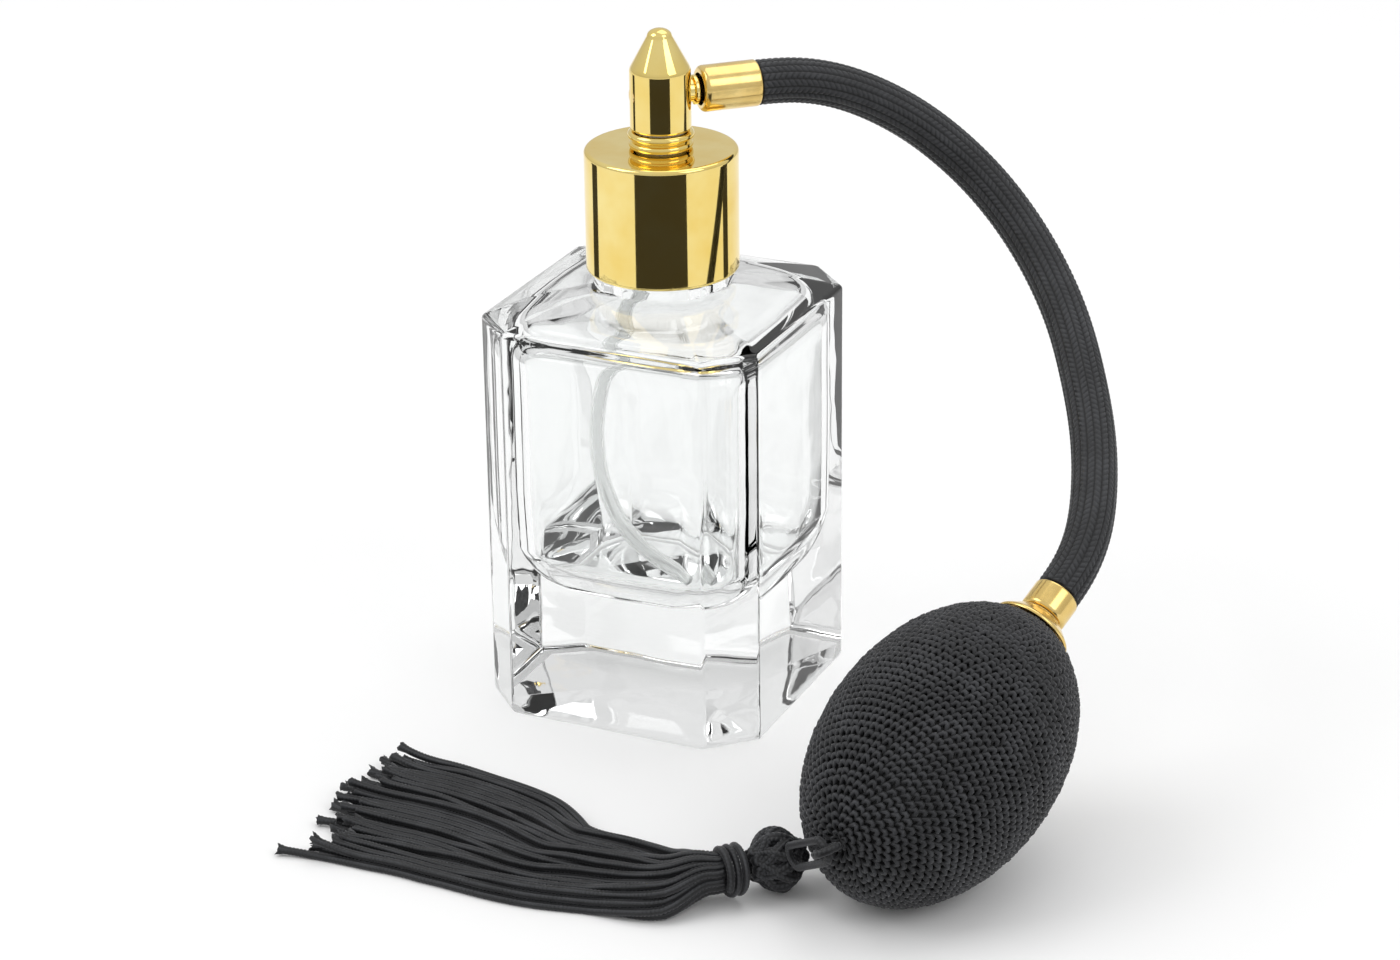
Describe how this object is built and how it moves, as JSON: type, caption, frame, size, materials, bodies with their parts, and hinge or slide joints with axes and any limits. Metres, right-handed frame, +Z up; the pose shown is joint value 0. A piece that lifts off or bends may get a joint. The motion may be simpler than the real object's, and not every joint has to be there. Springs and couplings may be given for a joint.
{
  "type": "perfume bottle with bulb atomiser",
  "caption": "Square clear glass perfume bottle with a gold screw-on spray head, a black braided hose, a net-covered squeeze bulb and a cord tassel.",
  "frame": {"origin": "centre of the bottle's base, on the table", "axes": "+Z up along the tower, -Y out of the bottle's wide front face, +X towards the side the bulb lies on"},
  "size_m": [0.1038, 0.1044, 0.1023],
  "materials": {
    "clear_glass": "clear polished flint glass",
    "gilt_aluminium": "bright gold anodised, mirror polished",
    "gilt_brass": "bright gold plated, mirror polished",
    "liner_plastic": "moulded, hidden inside the collar",
    "core_plastic": "moulded, hidden inside the shell",
    "valve_plastic": "moulded, hidden inside the bulb",
    "soft_gasket": "soft washer",
    "black_rubber": "dull black rubber",
    "hose_braid": "tight black braid over a rubber air tube",
    "net_cord": "crocheted black polyester cord",
    "tassel_cord": "black braided polyester cord",
    "dip_tube_plastic": "clear flexible tube",
    "valve_brass": "turned, hidden inside the bulb",
    "ball_steel": "polished ball"
  },
  "bodies": {
    "bottle": {"bottle": "clear_glass"},
    "seal": {"neck_gasket": "soft_gasket"},
    "dip": {"dip_tube": "dip_tube_plastic"},
    "collar": {"collar_shell": "gilt_aluminium", "collar_liner": "liner_plastic"},
    "head": {"head_core": "core_plastic", "head_shell": "gilt_aluminium", "foot_ring": "gilt_aluminium", "nozzle_insert": "gilt_brass", "port_nipple": "gilt_brass", "upper_ferrule": "gilt_brass", "upper_tube_end": "black_rubber", "hose": "hose_braid"},
    "bulb": {"bulb_cap": "gilt_brass", "lower_ferrule": "gilt_brass", "lower_tube_end": "black_rubber", "bulb_nipple": "gilt_brass", "outlet_valve_seat": "valve_plastic", "rubber_bulb": "black_rubber", "bulb_net": "net_cord", "inlet_valve_body": "valve_brass", "inlet_valve_cage": "valve_plastic", "tail_eye": "net_cord"},
    "outlet_ball": {"outlet_valve_ball": "ball_steel"},
    "inlet_ball": {"inlet_valve_ball": "ball_steel"},
    "loop": {"tassel_loop": "tassel_cord"},
    "tassel": {"tassel_head": "tassel_cord", "tassel_wrap": "tassel_cord", "tassel_skirt": "tassel_cord"}
  },
  "joints": [
    {"name": "lift_off", "type": "slide", "parent": "bottle", "child": "seal", "axis": [0, 0, 1], "range_m": [0, 0.07], "deforming": ["dip_tube"]},
    {"name": "screw_rise", "type": "slide", "parent": "seal", "child": "dip", "axis": [0, 0, 1], "range_m": [0, 0.00451]},
    {"name": "collar_turn", "type": "hinge", "parent": "dip", "child": "collar", "pos_m": [0, 0, 0.075], "axis": [0, 0, 1], "range_deg": [0, 540]},
    {"name": "head_swivel", "type": "hinge", "parent": "dip", "child": "head", "pos_m": [0, 0, 0.0926], "axis": [0, 0, 1], "continuous": true},
    {"name": "hose_bend", "type": "hinge", "parent": "head", "child": "bulb", "pos_m": [0.0451, 0.0273, 0.07], "axis": [-0.9768, -0.2142, 0], "range_deg": [0, 35], "deforming": ["hose"]},
    {"name": "outlet_valve_lift", "type": "slide", "parent": "bulb", "child": "outlet_ball", "axis": [0.2434, 0.8487, 0.4695], "range_m": [0, 0.0006], "deforming": ["rubber_bulb", "bulb_net"]},
    {"name": "inlet_valve_lift", "type": "slide", "parent": "bulb", "child": "inlet_ball", "axis": [0.275, 0.9589, -0.0698], "range_m": [0, 0.0006]},
    {"name": "tassel_swing", "type": "hinge", "parent": "bulb", "child": "loop", "pos_m": [0.05336, -0.06564, 0.01395], "axis": [0, 0, 1], "range_deg": [0, 50]},
    {"name": "tassel_lift", "type": "hinge", "parent": "loop", "child": "tassel", "pos_m": [0.04509, -0.05823, 0.00738], "axis": [0, 1, 0], "range_deg": [0, 60]}
  ],
  "couplings": [
    {"joint": "screw_rise", "follows": "collar_turn", "m_per_rad": 0.00047746}
  ]
}
